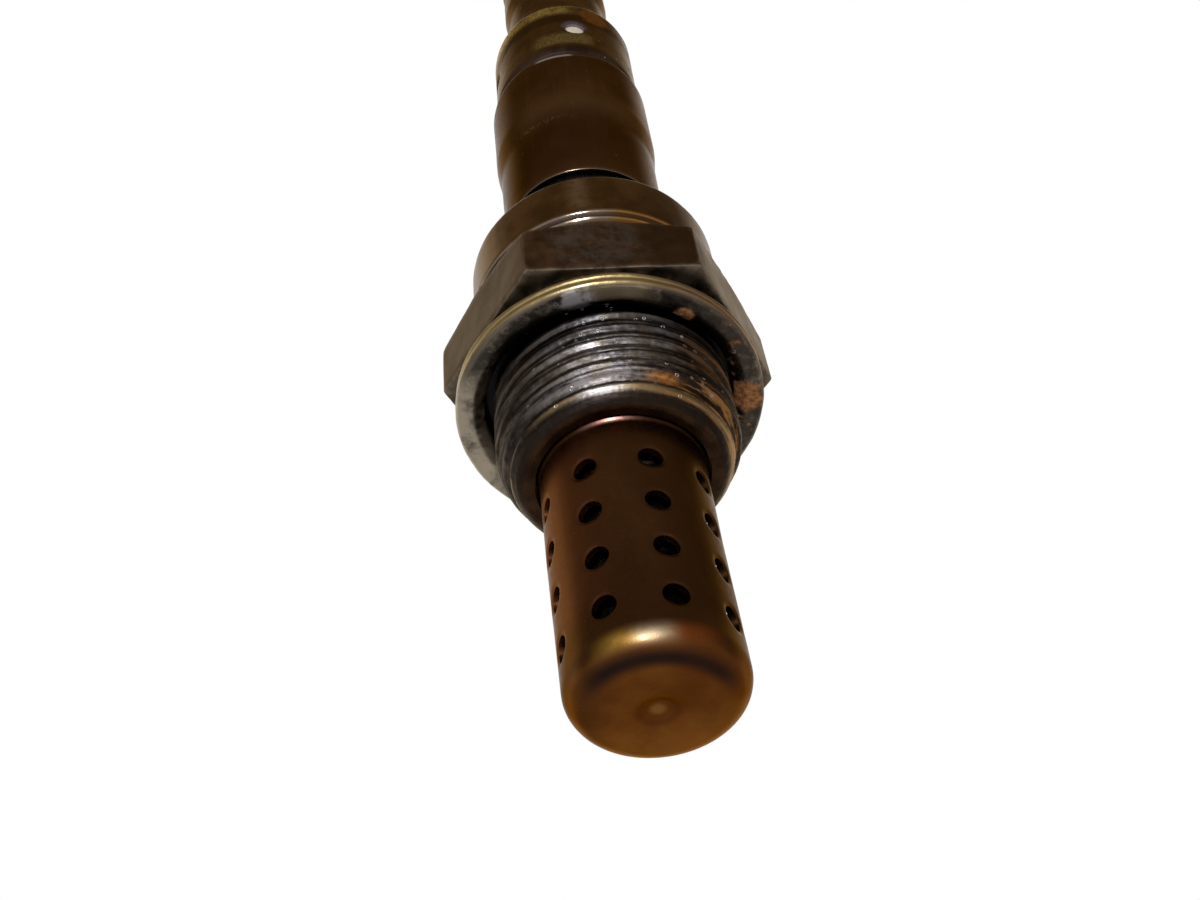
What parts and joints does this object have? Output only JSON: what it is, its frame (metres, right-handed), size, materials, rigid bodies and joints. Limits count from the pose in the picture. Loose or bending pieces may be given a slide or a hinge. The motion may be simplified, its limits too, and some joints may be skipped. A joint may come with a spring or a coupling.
{
  "type": "oxygen sensor",
  "caption": "Heated exhaust oxygen sensor: threaded hex shell with a seat gasket, a perforated probe shield below and a stepped steel cover with breather holes above.",
  "frame": {"origin": "centre of the gasket's sealing face, on the sensor's axis", "axes": "+Z along the axis towards the lead end, so the probe points to -Z; -Y is the normal of one flat of the hexagon"},
  "size_m": [0.0254, 0.0236, 0.1029],
  "materials": {
    "shell_steel": "heat-tinted, worn",
    "gasket_steel": "sooty, satin",
    "shield_steel": "heat-tinted bronze, satin",
    "inner_shield_steel": "heat-tinted, satin",
    "sleeve_steel": "heat-tinted brown, semi-gloss",
    "cover_steel": "dark, satin",
    "cap_steel": "heat-tinted straw brown, semi-gloss",
    "zirconia": "matte",
    "alumina": "matte",
    "talc": "pressed powder, matte",
    "heater_ceramic": "matte",
    "contact_nickel": "satin",
    "inner_steel": "satin",
    "filter_ptfe": "porous, matte",
    "grommet_rubber": "matte"
  },
  "bodies": {
    "root": {"housing": "shell_steel", "gasket": "gasket_steel", "outer_shield": "shield_steel", "inner_shield": "inner_shield_steel", "sensing_element": "zirconia", "element_washer": "inner_steel", "talc_seal": "talc", "ceramic_sleeve": "alumina", "packing_ring": "inner_steel", "heater_rod": "heater_ceramic", "outer_terminal": "contact_nickel", "inner_terminal": "contact_nickel", "heater_terminal_a": "contact_nickel", "heater_terminal_b": "contact_nickel", "contact_holder": "alumina", "holder_spring": "inner_steel", "lower_cover": "cover_steel", "outer_sleeve": "sleeve_steel", "upper_cover": "cap_steel", "vent_filter": "filter_ptfe", "filter_support": "inner_steel", "grommet": "grommet_rubber"}
  },
  "joints": []
}
